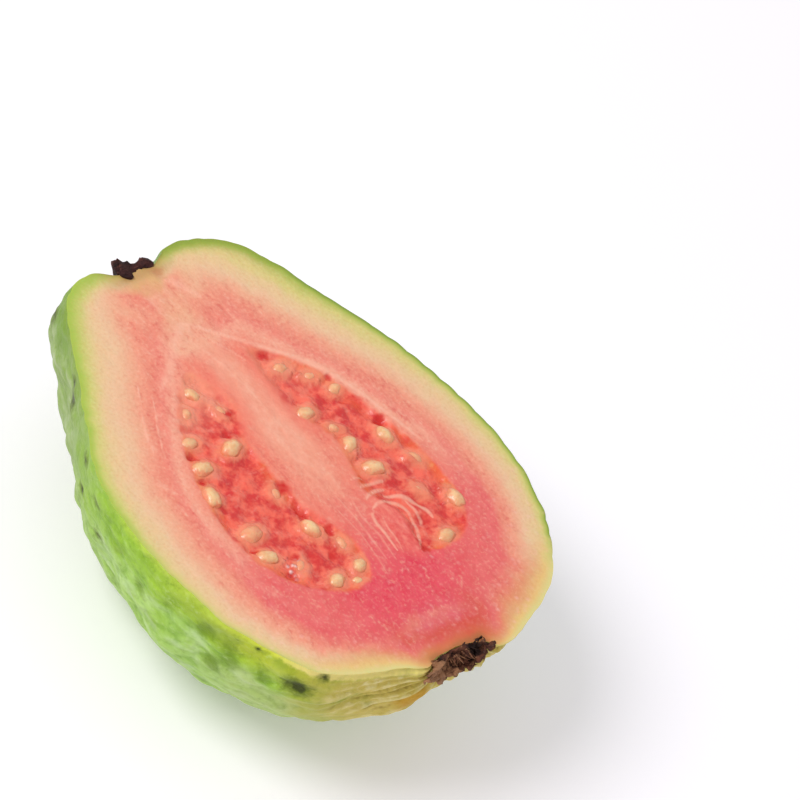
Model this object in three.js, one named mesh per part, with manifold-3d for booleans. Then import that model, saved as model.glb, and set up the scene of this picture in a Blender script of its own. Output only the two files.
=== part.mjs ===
// Half a pink guava, cut lengthwise through the stem and the calyx, lying on its rind with the cut face up.
// Millimetres, +Z up. +X runs from the stem to the calyx, and +Y is the far side of the cut.
// The fruit is one solid: rind, flesh and seed pulp grew together, and the seeds are fused into the pulp.
// The dried stem stub and the dried calyx are pieces of their own, cut by the same knife.

import * as THREE from 'three';
import Module from 'manifold-3d';

const wasm = await Module();
wasm.setup();

// ---------------------------------------------------------------- driving dimensions

const CUT_HEIGHT = 32.4; // height of the cut face above the surface that the half lies on
const REST_SPOT = new THREE.Vector2(0.8, 1.2); // the fruit's own x and y over the small flat that it rests on
const MERIDIAN_STEPS = 56;
const ROUND_STEPS = 34;
const FACE_RINGS = 13;

// Stations along the fruit, from the pit under the stem to the basin of the calyx, as [x, radius]:
// on the far side of the cut, on the keel straight below, and on the near side of the cut.
const STATIONS = [
  { far: [-39.2, 0], keel: [-39.2, 0], near: [-39.2, 0] }, // floor of the stem pit
  { far: [-39.3, 3.6], keel: [-39.8, 3.6], near: [-40.4, 3.4] },
  { far: [-41.5, 8.6], keel: [-42.8, 8.8], near: [-42.5, 8.2] }, // crest of the shoulder
  { far: [-40.6, 15.6], keel: [-42.3, 16.7], near: [-40.2, 14.0] },
  { far: [-35.4, 20.9], keel: [-35.5, 23.3], near: [-33.0, 19.7] },
  { far: [-24.0, 26.7], keel: [-23.5, 27.0], near: [-22.0, 26.3] },
  { far: [-9.0, 32.6], keel: [-8.5, 32.8], near: [-8.0, 32.2] },
  { far: [9.0, 35.5], keel: [8.5, 33.4], near: [8.0, 32.6] }, // belly
  { far: [24.0, 32.8], keel: [23.0, 30.0], near: [22.0, 29.7] },
  { far: [35.0, 24.7], keel: [33.6, 21.3], near: [33.0, 23.2] },
  { far: [40.2, 13.0], keel: [39.5, 12.0], near: [37.6, 11.8] },
  { far: [41.4, 7.6], keel: [41.0, 7.2], near: [39.5, 7.4] }, // lip of the calyx basin
  { far: [39.4, 4.6], keel: [39.2, 4.4], near: [38.6, 4.4] },
  { far: [38.4, 0], keel: [38.4, 0], near: [38.4, 0] }, // floor of the basin
];
const BOXINESS = 0.02; // how far the sections swell between the keel and the cut, as a share of the radius

// The rind's pebbling is a sum of waves that run in all directions.
const PEBBLES = { waves: 16, shortest: 6.5, longest: 12, height: 0.1 };
const WRINKLES = { count: 15, height: 0.3, reach: 13 }; // pleats that run into the calyx basin
// The relief fades out near the fruit's axis, in the two pits, and round the flat that the half rests on.
const FADE = { axis: [1, 8], flat: [4, 13], flatDepth: 20 };
const END_LEAN = 0.6; // how far the relief's outward direction leans towards the stem and the calyx

// Two chambers of seed pulp lie either side of the pale placenta. Each outline runs from the stem end
// along the outer wall and back along the placenta, as [x, y] on the cut.
const FAR_CHAMBER = [
  [-20.8, 6.6], [-17.7, 11.3], [-10.6, 16.2], [-1.3, 19.4], [7.0, 21.2], [15.5, 21.3], [21.8, 18.1],
  [23.8, 12.5], [21.8, 7.8], [15.0, 8.8], [9.2, 6.2], [0.0, 8.4], [-6.5, 5.4], [-13.5, 5.2],
];
const NEAR_CHAMBER = [
  [-20.6, -4.5], [-17.8, -10.0], [-11.4, -14.9], [-2.6, -18.6], [5.5, -20.0], [12.8, -19.2], [19.0, -15.4],
  [23.0, -9.0], [22.4, -3.4], [16.4, -1.3], [10.8, -2.9], [5.0, -5.0], [-5.0, -5.0], [-12.5, -1.6],
];
const PULP = { sink: 0.7, edge: 1.8 }; // how far the pulp sinks below the cut, and how wide its slope is

// The seeds, as [x, y, turn in degrees, size].
const SEEDS = [
  [-15.0, 10.0, 85, 0.9], [-11.8, 13.6, 70, 0.8], [-8.2, 16.0, 95, 0.85], [2.6, 17.4, 10, 1.0],
  [8.0, 19.2, 40, 0.85], [17.0, 20.0, -3, 1.1], [21.8, 13.4, 100, 1.0], [-6.4, 7.8, 88, 1.0],
  [-2.2, 10.4, 50, 0.7], [1.6, 10.2, -55, 1.0], [6.6, 11.0, 66, 1.15], [13.0, 15.4, 20, 0.75],
  [-17.0, -7.6, 30, 0.85], [-14.2, -11.2, -45, 0.8], [-9.8, -14.2, 85, 0.9], [-5.1, -15.6, 80, 1.1],
  [-0.3, -17.8, -15, 1.15], [7.8, -16.4, 90, 1.2], [12.3, -17.0, 62, 1.05], [15.8, -12.8, -40, 0.85],
  [20.4, -9.2, 105, 0.95], [22.0, -6.0, 70, 0.6], [19.8, -3.8, 110, 0.9], [15.4, -3.6, 0, 0.75],
  [11.4, -6.6, 20, 1.05], [-6.2, -8.3, 102, 1.15], [-12.6, -5.2, 15, 0.75], [3.4, -7.4, -20, 0.75],
];
const SEED = { length: 3.9, width: 2.6, height: 2.3, sides: 8, bands: 5, stands: 0.25 };

// The stub and the calyx are dried cups. Each one's seat is the x of its foot, in its pit.
const STUB = { radius: 3.2, height: 2.6, wall: 1.7, floor: 0.8, seat: -39.4, lobes: 3 };
const CALYX = { radius: 5.6, height: 3.2, wall: 2.2, floor: 1.7, seat: 38.7, lobes: 5 };
const RAGGED = 0.3; // how far a cup's rim rises and flares at its lobes, as a share
const SEPAL = { thick: 1.3, long: 5.2, wide: 4.6, lean: 0.55 };
const GAP = 0.3; // left between the fruit and the dried pieces that sit in its pits

// How deep in from the rind each colour takes over from the one outside it.
const LAYERS = { underRind: [0.3, 2], outerFlesh: [1.5, 4.5], flesh: [5, 11] };
const COLOURS = {
  rind: new THREE.Color('#7fae2c'),
  underRind: new THREE.Color('#c3d07a'),
  outerFlesh: new THREE.Color('#efc79c'),
  flesh: new THREE.Color('#ee8a78'),
  pulp: new THREE.Color('#dd4a4a'),
  seed: new THREE.Color('#ecd09a'),
  dried: new THREE.Color('#3b2420'),
};

// ---------------------------------------------------------------- the fruit's form

const GOLDEN_SHARE = (Math.sqrt(5) - 1) / 2;
const GOLDEN_ANGLE = 2 * Math.PI * (1 - GOLDEN_SHARE);
const fraction = (v) => v - Math.floor(v);
const ramp = (v, low, high) => THREE.MathUtils.smoothstep(v, low, high);

// One station at an angle round the fruit, 0 on the far side, PI / 2 at the keel and PI on the near side.
function stationAt({ far, keel, near }, angle) {
  return [0, 1].map((k) => {
    const middle = (far[k] + near[k]) / 2;
    const lean = (far[k] - near[k]) / 2;
    return (middle + keel[k]) / 2 + lean * Math.cos(angle) + ((middle - keel[k]) / 2) * Math.cos(2 * angle);
  });
}

// The rind's line from stem to calyx at one angle, without its pebbling.
function meridian(angle) {
  const swell = 1 - BOXINESS * Math.sin(angle) ** 2 * Math.cos(4 * angle);
  const points = STATIONS.map((station) => {
    const [x, radius] = stationAt(station, angle);
    return new THREE.Vector3(x, radius * swell * Math.cos(angle), -radius * swell * Math.sin(angle));
  });
  return new THREE.CatmullRomCurve3(points, false, 'catmullrom', 0.5).getSpacedPoints(MERIDIAN_STEPS);
}

// Height of the pebbling at a point of the rind.
function pebbling(point) {
  let sum = 0;
  for (let i = 0; i < PEBBLES.waves; i++) {
    const up = 1 - (2 * i + 1) / PEBBLES.waves;
    const across = Math.sqrt(1 - up * up);
    const turn = i * GOLDEN_ANGLE;
    const along = point.x * across * Math.cos(turn) + point.y * across * Math.sin(turn) + point.z * up;
    const length = THREE.MathUtils.lerp(PEBBLES.shortest, PEBBLES.longest, fraction(i * GOLDEN_SHARE));
    const phase = 3 * turn;
    sum += Math.sin((2 * Math.PI * along) / length + phase);
  }
  return PEBBLES.height * sum;
}

// Height of the pleats that gather at the calyx.
function wrinkling(point, angle) {
  const fromCalyx = STATIONS.at(-1).keel[0] - point.x;
  const near = 1 - ramp(fromCalyx, 0, WRINKLES.reach);
  return WRINKLES.height * near * Math.cos(WRINKLES.count * angle + Math.sin(3 * angle));
}

// The rind's point with its relief.
function relieved(point, angle) {
  const fromAxis = Math.hypot(point.y, point.z);
  const fromFlat = Math.hypot(point.x - REST_SPOT.x, point.y - REST_SPOT.y);
  const above = Math.max(0, point.z + FADE.flatDepth);
  const fade = ramp(fromAxis, ...FADE.axis) * ramp(fromFlat + above, ...FADE.flat);
  const outward = new THREE.Vector3(point.x * END_LEAN, point.y, point.z).normalize();
  return point.clone().addScaledVector(outward, fade * (pebbling(point) + wrinkling(point, angle)));
}

// ---------------------------------------------------------------- the cut face

// The cut's outline, from the stem along the far side to the calyx and back along the near side.
function cutOutline() {
  const farSide = meridian(0).map((p) => relieved(p, 0));
  const nearSide = meridian(Math.PI).map((p) => relieved(p, Math.PI));
  return [...farSide, ...nearSide.slice(1, -1).reverse()].map((p) => new THREE.Vector2(p.x, p.y));
}

// A chamber's outline as a closed smooth loop.
function chamberLoop(corners) {
  const points = corners.map(([x, y]) => new THREE.Vector3(x, y, 0));
  return new THREE.CatmullRomCurve3(points, true, 'catmullrom', 0.5)
    .getPoints(4 * points.length)
    .slice(0, -1)
    .map((p) => new THREE.Vector2(p.x, p.y));
}

const rim = cutOutline();
const chambers = [FAR_CHAMBER, NEAR_CHAMBER].map(chamberLoop);

// How deep a point of the cut lies inside a closed loop; below zero outside it.
function depthInside(x, y, loop) {
  let inside = false;
  let nearest = Infinity;
  loop.forEach((a, i) => {
    const b = loop[(i + 1) % loop.length];
    if (a.y > y !== b.y > y && x < a.x + ((b.x - a.x) * (y - a.y)) / (b.y - a.y)) inside = !inside;
    const along = ((x - a.x) * (b.x - a.x) + (y - a.y) * (b.y - a.y)) / a.distanceToSquared(b);
    const t = THREE.MathUtils.clamp(along, 0, 1);
    nearest = Math.min(nearest, Math.hypot(x - a.x - t * (b.x - a.x), y - a.y - t * (b.y - a.y)));
  });
  return inside ? nearest : -nearest;
}

// 1 in the seed pulp and 0 in the flesh around it.
function pulpMask(x, y) {
  const depth = Math.max(...chambers.map((loop) => depthInside(x, y, loop)));
  return ramp(depth, 0, PULP.edge);
}

const faceHeight = (x, y) => -PULP.sink * pulpMask(x, y);

// ---------------------------------------------------------------- meshes and solids

function geometryOf(points, triangles) {
  const coordinates = points.flatMap((p) => [p.x, p.y, p.z]);
  const geometry = new THREE.BufferGeometry();
  geometry.setAttribute('position', new THREE.Float32BufferAttribute(coordinates, 3));
  geometry.setIndex(triangles.flat());
  return geometry;
}

// A closed three.js geometry as a manifold-3d solid. Vertices at one place become one vertex.
function solidOf(geometry) {
  const { array } = geometry.getAttribute('position');
  const index = geometry.index ? [...geometry.index.array] : [...Array(array.length / 3).keys()];
  const known = new Map();
  const vertices = [];
  const merged = index.map((i) => {
    const p = [...array.slice(3 * i, 3 * i + 3)].map((v) => Math.round(v * 1e4) / 1e4 + 0);
    const key = p.join();
    if (!known.has(key)) {
      known.set(key, known.size);
      vertices.push(...p);
    }
    return known.get(key);
  });
  const corners = [];
  for (let i = 0; i < merged.length; i += 3) {
    const [a, b, c] = merged.slice(i, i + 3);
    if (a !== b && b !== c && c !== a) corners.push(a, b, c);
  }
  const vertProperties = new Float32Array(vertices);
  return new wasm.Manifold(new wasm.Mesh({ numProp: 3, vertProperties, triVerts: new Uint32Array(corners) }));
}

function geometryFrom(solid) {
  const { vertProperties, triVerts } = solid.getMesh();
  const geometry = new THREE.BufferGeometry();
  geometry.setAttribute('position', new THREE.BufferAttribute(vertProperties, 3));
  geometry.setIndex(new THREE.BufferAttribute(triVerts, 1));
  return geometry;
}

// ---------------------------------------------------------------- the half fruit

// The rind's grid of points, closed by the cut face, which is a fan of rings round the middle of the cut.
function fleshAndRind() {
  const points = [];
  const triangles = [];
  const add = (point) => points.push(point) - 1;
  const quad = (a, b, c, d) => triangles.push([a, b, c], [a, c, d]);

  const stem = add(new THREE.Vector3(STATIONS[0].keel[0], 0, 0));
  const calyx = add(new THREE.Vector3(STATIONS.at(-1).keel[0], 0, 0));
  const lines = [];
  for (let j = 0; j <= ROUND_STEPS; j++) {
    const angle = (Math.PI * j) / ROUND_STEPS;
    const inner = meridian(angle).slice(1, -1).map((p) => add(relieved(p, angle)));
    lines.push([stem, ...inner, calyx]);
  }
  for (let j = 0; j < ROUND_STEPS; j++) {
    const [a, b] = [lines[j], lines[j + 1]];
    triangles.push([stem, a[1], b[1]], [calyx, b.at(-2), a.at(-2)]);
    for (let i = 1; i < MERIDIAN_STEPS - 1; i++) quad(a[i], a[i + 1], b[i + 1], b[i]);
  }

  const edge = [...lines[0], ...lines.at(-1).slice(1, -1).reverse()];
  let outer = edge;
  for (let k = FACE_RINGS - 1; k > 0; k--) {
    const share = k / FACE_RINGS;
    const ring = edge.map((i) => {
      const [x, y] = [points[i].x * share, points[i].y * share];
      return add(new THREE.Vector3(x, y, faceHeight(x, y)));
    });
    ring.forEach((_, i) => {
      const next = (i + 1) % ring.length;
      quad(outer[i], ring[i], ring[next], outer[next]);
    });
    outer = ring;
  }
  const middle = add(new THREE.Vector3(0, 0, 0));
  outer.forEach((v, i) => triangles.push([v, middle, outer[(i + 1) % outer.length]]));
  return geometryOf(points, triangles);
}

// One seed: a low-sided pip, longer than wide, lying in the pulp with its lower half sunk in.
function seed([x, y, turn, size]) {
  const place = new THREE.Matrix4().makeRotationZ(THREE.MathUtils.degToRad(turn));
  place.scale(new THREE.Vector3(SEED.length, SEED.width, SEED.height).multiplyScalar(size));
  place.setPosition(x, y, faceHeight(x, y) + SEED.stands);
  return solidOf(new THREE.SphereGeometry(0.5, SEED.sides, SEED.bands).applyMatrix4(place));
}

// The solid of the half in the fruit's own frame, its cut at z = 0, before it is set down.
const fruit = SEEDS.reduce((body, place) => body.add(seed(place)), solidOf(fleshAndRind()));

// ---------------------------------------------------------------- the dried stem stub and calyx

// A dried cup with a ragged rim, built whole round the y axis, its mouth towards +y.
function driedCup({ radius, height, wall, floor, lobes }) {
  const profile = [
    [0, 0],
    [radius * 0.8, 0],
    [radius, height * 0.4],
    [radius, height * 0.8],
    [radius - wall * 0.5, height],
    [radius - wall, height * 0.8],
    [radius - wall, floor],
    [0, floor],
  ].map(([r, h]) => new THREE.Vector2(r, h));
  const geometry = new THREE.LatheGeometry(profile, 4 * lobes);
  const position = geometry.getAttribute('position');
  for (let i = 0; i < position.count; i++) {
    const p = new THREE.Vector3().fromBufferAttribute(position, i);
    const wave = RAGGED * Math.cos(lobes * Math.atan2(p.z, p.x) + 1);
    const flare = 1 + RAGGED * wave * (p.y / height);
    position.setXYZ(i, p.x * flare, p.y + wave * Math.max(0, p.y - floor), p.z * flare);
  }
  return geometry;
}

// A dried sepal: a thin tongue at the calyx's rim that leans out over the rind, turned round the x axis.
function sepal(angle) {
  return new THREE.SphereGeometry(0.5, 8, 6)
    .scale(SEPAL.thick, SEPAL.long, SEPAL.wide)
    .rotateZ(-SEPAL.lean)
    .translate(CALYX.seat + CALYX.height * 0.7, CALYX.radius * 0.85, 0)
    .rotateX(angle);
}

const BLOCK = 200; // side of a block that stands for everything below the cut

// What the knife left of a whole dried piece: the part below the cut and clear of the fruit.
function halved(whole, outwards) {
  const below = new THREE.BoxGeometry(BLOCK, BLOCK, BLOCK).translate(0, 0, -BLOCK / 2);
  const fruitAndGap = fruit.add(fruit.translate([outwards * GAP, 0, 0]));
  const pieces = whole.intersect(solidOf(below)).subtract(fruitAndGap).decompose();
  return pieces.reduce((most, piece) => (piece.volume() > most.volume() ? piece : most));
}

function stemStub() {
  return halved(solidOf(driedCup(STUB).rotateZ(Math.PI / 2).translate(STUB.seat, 0, 0)), -1);
}

function calyxCrown() {
  const cup = solidOf(driedCup(CALYX).rotateZ(-Math.PI / 2).translate(CALYX.seat, 0, 0));
  const sepals = [...Array(CALYX.lobes).keys()].map((i) => solidOf(sepal((2 * Math.PI * i) / CALYX.lobes)));
  return halved(sepals.reduce((crown, tongue) => crown.add(tongue), cup), 1);
}

// ---------------------------------------------------------------- setting the half down

// Moves a solid from the fruit's frame to the part's, and flattens what would reach below the surface.
function setDown(solid) {
  const geometry = geometryFrom(solid).translate(-REST_SPOT.x, -REST_SPOT.y, CUT_HEIGHT);
  const position = geometry.getAttribute('position');
  for (let i = 0; i < position.count; i++) position.setZ(i, Math.max(0, position.getZ(i)));
  return geometry;
}

// The fruit's colour at a point of its own frame: green rind, and on the cut the layers from rind to pulp.
function fruitColour(x, y, z) {
  if (z < -2 * PULP.sink) return COLOURS.rind;
  if (z > faceHeight(x, y) + SEED.stands / 2) return COLOURS.seed;
  const depth = depthInside(x, y, rim);
  const colour = COLOURS.rind.clone();
  for (const [layer, band] of Object.entries(LAYERS)) colour.lerp(COLOURS[layer], ramp(depth, ...band));
  return colour.lerp(COLOURS.pulp, pulpMask(x, y));
}

function painted(geometry) {
  const position = geometry.getAttribute('position');
  const colours = [];
  for (let i = 0; i < position.count; i++) {
    const [x, y, z] = [position.getX(i) + REST_SPOT.x, position.getY(i) + REST_SPOT.y, position.getZ(i)];
    colours.push(...fruitColour(x, y, z - CUT_HEIGHT).toArray());
  }
  geometry.setAttribute('color', new THREE.Float32BufferAttribute(colours, 3));
  return geometry;
}

function part(name, geometry, material) {
  geometry.computeVertexNormals();
  const mesh = new THREE.Mesh(geometry, new THREE.MeshStandardMaterial({ metalness: 0, ...material }));
  mesh.name = name;
  return mesh;
}

const guava = new THREE.Group();
guava.add(
  part('guava_half', painted(setDown(fruit)), { vertexColors: true, roughness: 0.4 }),
  part('stem_stub', setDown(stemStub()), { color: COLOURS.dried, roughness: 0.9 }),
  part('calyx_crown', setDown(calyxCrown()), { color: COLOURS.dried, roughness: 0.9 }),
);

export default guava;
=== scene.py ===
"""Half a pink guava, cut lengthwise through stem and calyx, lying on its rind with the cut face up."""
import math
from functools import partialmethod
from types import SimpleNamespace

import bpy
import numpy as np
from mathutils import Matrix, Vector


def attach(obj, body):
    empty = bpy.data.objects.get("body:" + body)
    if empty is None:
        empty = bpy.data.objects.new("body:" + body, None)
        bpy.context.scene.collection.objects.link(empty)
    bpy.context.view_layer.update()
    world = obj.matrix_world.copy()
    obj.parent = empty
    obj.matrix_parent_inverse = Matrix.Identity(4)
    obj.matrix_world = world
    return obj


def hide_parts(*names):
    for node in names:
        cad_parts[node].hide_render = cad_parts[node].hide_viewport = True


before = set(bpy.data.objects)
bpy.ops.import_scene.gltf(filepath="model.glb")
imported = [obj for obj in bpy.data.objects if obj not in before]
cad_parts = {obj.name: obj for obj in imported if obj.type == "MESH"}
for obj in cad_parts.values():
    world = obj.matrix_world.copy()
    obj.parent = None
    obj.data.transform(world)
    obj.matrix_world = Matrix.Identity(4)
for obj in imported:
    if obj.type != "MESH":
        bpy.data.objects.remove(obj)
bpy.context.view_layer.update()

# ------------------------------ the table, the light and the camera
# The half lies on a plain white light table in a white room, with one broad soft lamp on its near side.
# The camera looks down on the cut and is rolled over, so that the stem is up on the left.

MM = 0.001  # metres in a millimetre: every size below is in millimetres
PICTURE_SIDE = 800  # pixels

TABLE_SIDE = 6000
TABLE_WHITE = (0.9, 0.87, 0.93, 1)
TABLE_GLOW = 0.16
ROOM_LIGHT = 0.64
LAMP = {"from": (-330, -590, 790), "side": 480, "watts": 5.9}
CAMERA = {"azimuth": 24.5, "elevation": 43.6, "roll": 31.7, "lens": 200, "sensor": 36}
PIXELS_A_MM = 6.61
CUT_CENTRE = (-0.8, -1.2, 32.4)  # the middle of the cut face, which falls at this pixel:
CUT_CENTRE_PIXEL = (296.6, 459.1)

bpy.context.scene.view_settings.view_transform = "Standard"


def set_sockets(node, values):
    for socket, value in values.items():
        node.inputs[socket].default_value = value


world = bpy.data.worlds.new("white_room")
world.use_nodes = True
set_sockets(world.node_tree.nodes["Background"], {"Color": (1, 1, 1, 1), "Strength": ROOM_LIGHT})
bpy.context.scene.world = world

bpy.ops.mesh.primitive_plane_add(size=TABLE_SIDE * MM)
table = bpy.context.object
table.name = "table"
table_paint = bpy.data.materials.new("white_table")
table_paint.use_nodes = True
set_sockets(table_paint.node_tree.nodes["Principled BSDF"], {
    "Base Color": TABLE_WHITE, "Roughness": 0.8, "Specular IOR Level": 0.2,
    "Emission Color": (1, 1, 1, 1), "Emission Strength": TABLE_GLOW,
})
table.data.materials.append(table_paint)


def in_scene(name, data):
    made = bpy.data.objects.new(name, data)
    bpy.context.collection.objects.link(made)
    return made


lamp_data = bpy.data.lights.new("soft_lamp", "AREA")
lamp_data.shape = "DISK"
lamp_data.size = LAMP["side"] * MM
lamp_data.energy = LAMP["watts"]
lamp = in_scene("soft_lamp", lamp_data)
lamp.location = Vector(LAMP["from"]) * MM
lamp.rotation_euler = (Vector(CUT_CENTRE) * MM - lamp.location).to_track_quat("-Z", "Y").to_euler()


def rolled_view(azimuth, elevation, roll):
    """The camera's own right, up and back directions."""
    a, e, r = (math.radians(v) for v in (azimuth, elevation, roll))
    back = Vector((math.sin(a) * math.cos(e), -math.cos(a) * math.cos(e), math.sin(e)))
    right = Vector((math.cos(a), math.sin(a), 0))
    up = back.cross(right)
    return right * math.cos(r) + up * math.sin(r), up * math.cos(r) - right * math.sin(r), back


camera_data = bpy.data.cameras.new("camera")
camera_data.lens = CAMERA["lens"]
camera_data.sensor_width = CAMERA["sensor"]
camera = in_scene("camera", camera_data)
right, up, back = rolled_view(CAMERA["azimuth"], CAMERA["elevation"], CAMERA["roll"])
distance = CAMERA["lens"] / CAMERA["sensor"] * PICTURE_SIDE / PIXELS_A_MM
aside = (CUT_CENTRE_PIXEL[0] - PICTURE_SIDE / 2) / PIXELS_A_MM
above = (PICTURE_SIDE / 2 - CUT_CENTRE_PIXEL[1]) / PIXELS_A_MM
place = Vector(CUT_CENTRE) + back * distance - right * aside - up * above
camera.matrix_world = Matrix.Translation(place * MM) @ Matrix((right, up, back)).transposed().to_4x4()
bpy.context.scene.camera = camera

# ------------------------------ the half fruit
# Rind, flesh and seed pulp grew as one piece, and the knife left them as one: a domed rind and a flat cut.
# The rind is thin, waxy and pebbled. The flesh is cream under it and pink further in, and the pulp is red
# and wet.

REST_SPOT = (0.8, 1.2)  # the fruit's own x and y over the small flat that it rests on
CUT_HEIGHT = 32.4

# Stations from the stem pit to the calyx basin, as [x, radius] on the far side, the keel and the near side.
STATIONS = np.array([
    [(-40.6, 0), (-40.6, 0), (-40.6, 0)],
    [(-39.8, 3.6), (-39.8, 3.6), (-40.4, 3.4)],
    [(-42.1, 8.6), (-42.8, 8.8), (-42.5, 8.2)],
    [(-40.6, 15.6), (-42.3, 16.7), (-40.2, 14)],
    [(-35.8, 21.4), (-35.5, 23.3), (-33, 19.7)],
    [(-24, 26.7), (-23.5, 27), (-22, 26.3)],
    [(-9, 32.6), (-8.5, 32.8), (-8, 32.2)],
    [(9, 35.5), (8.5, 33.4), (8, 32.6)],
    [(24, 32.8), (23, 30), (22, 29.7)],
    [(35, 24.7), (33.6, 21.3), (33, 23.2)],
    [(40.2, 13), (39.5, 12), (37.6, 11.8)],
    [(41.4, 7.6), (41, 7.2), (39.5, 7.4)],
    [(39.4, 4.6), (39.2, 4.4), (38.6, 4.4)],
    [(38.4, 0), (38.4, 0), (38.4, 0)],
])
# Swellings and hollows that this fruit grew, as [x, y, z, reach, height].
# The last three are drawn in by the calyx.
SWELLINGS = [
    (-41.5, -14.5, -6.5, 4.5, 1.3), (-28.5, -22, -10, 6.5, -1.9), (9, -26.5, -17, 9, 1.4),
    (-3, -26, -18.5, 5, -1), (-19, -24.5, -13, 5, -0.4), (-27, -24, 0, 5, -0.4), (-10, -32, 0, 7, 0.7),
    (-1, -33, 0, 7, 0.8), (8, -33, 0, 7, 0.8), (18.5, -30, 0, 5, 0.7),
    (40, 3, -10.5, 7, -2), (37.5, -3.5, -13.5, 3.5, 1.4), (36, -14, -8, 4, -0.5),
]
# Small dents in the skin, in the same form. The rind's colour darkens in them as painted shade.
DENTS = [
    (16.7, -31, -4.6, 1.8, -0.5), (20.7, -29.9, -4.4, 1.9, -0.4), (18.8, -28.5, -11.6, 2, -0.4),
    (21.7, -28.8, -8, 1.8, -0.5), (10.2, -31.8, -6.1, 1.6, -0.3), (26.6, -27, -6.4, 1.8, -0.35),
    (4.1, -31.5, -9.2, 1.5, -0.3), (31, -24.5, -4.9, 2, -0.4), (-6.9, -30.4, -11.3, 1.8, -0.3),
    (-4, -26, -18, 1.8, -0.4), (8, -20, -25, 2.4, -0.4), (14, 29, -12, 2.4, -0.45),
    (-2, 30, -9, 2, -0.4), (22, 22, -18, 1.8, -0.4), (-22, 22, -12, 2, -0.4),
    (-30, 8, -18, 1.8, -0.4), (28, 4, -24, 1.8, -0.4), (-12, 8, -29, 1.8, -0.4),
]
# Pleats run into the calyx, as [share of the height, how many in a whole turn, how far they wander from
# even spacing, how often they do, and their twist along the fruit].
PLEATS = [(0.5, 15, 1, 3, 0), (0.3, 37, 2, 5, 0), (0.2, 61, 3, 4, 0.25)]
PLEAT_HEIGHT = 0.55
PLEATS_REACH = 14  # from the calyx
BOXINESS = 0.02  # how far the sections swell between the keel and the cut, as a share of the radius
STATION_STEPS = 24  # steps of the rind's lines from each station to the next
RIND_ALONG = 300  # steps of the rind's grid from stem to calyx
RIND_ROUND = 166  # and round the fruit
GOLDEN_SHARE = (math.sqrt(5) - 1) / 2
GOLDEN_ANGLE = 2 * math.pi * (1 - GOLDEN_SHARE)


def smoothstep(v, low, high):
    """0 below the low value and 1 above the high one, with a smooth rise between."""
    t = np.clip((v - low) / (high - low), 0, 1)
    return t * t * (3 - 2 * t)


def smooth_line(points, steps=6, closed=False):
    """A smooth line through the points, with this many steps from each to the next."""
    p = np.array(points, float)
    if closed:
        p = np.concatenate([p[-1:], p, p[:2]])
    else:
        p = np.concatenate([2 * p[:1] - p[1:2], p, 2 * p[-1:] - p[-2:-1]])
    a, b, c, d = p[:-3], p[1:-2], p[2:-1], p[3:]
    t = np.arange(steps).reshape(-1, 1, 1) / steps
    line = b + (c - a) * t / 2 + (a - 2.5 * b + 2 * c - d / 2) * t**2 + (1.5 * (b - c) + (d - a) / 2) * t**3
    line = line.transpose(1, 0, 2).reshape(-1, p.shape[1])
    return line if closed else np.concatenate([line, p[-2:-1]])


def meridian(angle, steps):
    """The rind's line from stem to calyx. Angle 0 is the cut's far side, and half a turn its near side."""
    far, keel, near = STATIONS[:, 0], STATIONS[:, 1], STATIONS[:, 2]
    middle, lean = (far + near) / 2, (far - near) / 2
    x, radius = ((middle + keel) / 2 + lean * math.cos(angle) + (middle - keel) / 2 * math.cos(2 * angle)).T
    radius = radius * (1 - BOXINESS * math.sin(angle) ** 2 * math.cos(4 * angle))
    stations = np.stack([x, radius * math.cos(angle), -radius * math.sin(angle)], axis=1)
    line = smooth_line(stations, STATION_STEPS)
    along = np.concatenate([[0], np.cumsum(np.linalg.norm(np.diff(line, axis=0), axis=1))])
    even = np.linspace(0, along[-1], steps + 1)
    return np.stack([np.interp(even, along, line[:, k]) for k in range(3)], axis=1)


def waves(points, shortest, longest, count=16):
    """A sum of sine waves that run in all directions, with lengths between the two."""
    total = 0
    for i in range(count):
        height = 1 - (2 * i + 1) / count
        across = math.sqrt(1 - height * height)
        turn = i * GOLDEN_ANGLE
        along = points @ np.array([across * math.cos(turn), across * math.sin(turn), height])
        length = shortest + (longest - shortest) * (i * GOLDEN_SHARE % 1)
        total = total + np.sin(2 * math.pi * along / length + 3 * turn)
    return total


def bumps(points, places):
    """The summed heights of round bumps, as [x, y, z, reach, height]."""
    return sum(height * np.exp(-np.sum((points - (x, y, z)) ** 2, axis=1) / reach**2)
               for x, y, z, reach, height in places)


def rind_relief(points, angle):
    """How far each point of the rind stands out, and its small lumps, pleats and dents by themselves."""
    from_axis = np.hypot(points[:, 1], points[:, 2])
    from_rest = np.hypot(points[:, 0] - REST_SPOT[0], points[:, 1] - REST_SPOT[1])
    from_rest = from_rest + np.maximum(0, points[:, 2] + 20)
    fade = smoothstep(from_axis, 1, 8) * smoothstep(from_rest, 4, 13)

    # Broad swellings, pebbles and a fine grain, each as a height times waves of these lengths.
    broad = 0.075 * waves(points, 6, 11) * (0.3 + 0.7 * smoothstep(-points[:, 2], 0, 7))
    drawn_out = points * (0.72, 1, 1)
    lumps = 0.052 * np.abs(waves(drawn_out, 3.2, 5.6)) - 0.12
    grain = 0.008 * waves(drawn_out, 1.6, 2.6)
    near_calyx = 1 - smoothstep(STATIONS[-1, 0, 0] - points[:, 0], 0, PLEATS_REACH)
    pleats = sum(share * np.cos(count * angle + wander * np.sin(often * angle) + twist * points[:, 0])
                 for share, count, wander, often, twist in PLEATS)
    dents = bumps(points, DENTS)
    small = fade * (lumps + grain) * (1 - 0.6 * near_calyx)
    relief = fade * (broad + PLEAT_HEIGHT * pleats * near_calyx + bumps(points, SWELLINGS) + dents) + small
    return relief, small, pleats, dents


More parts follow.
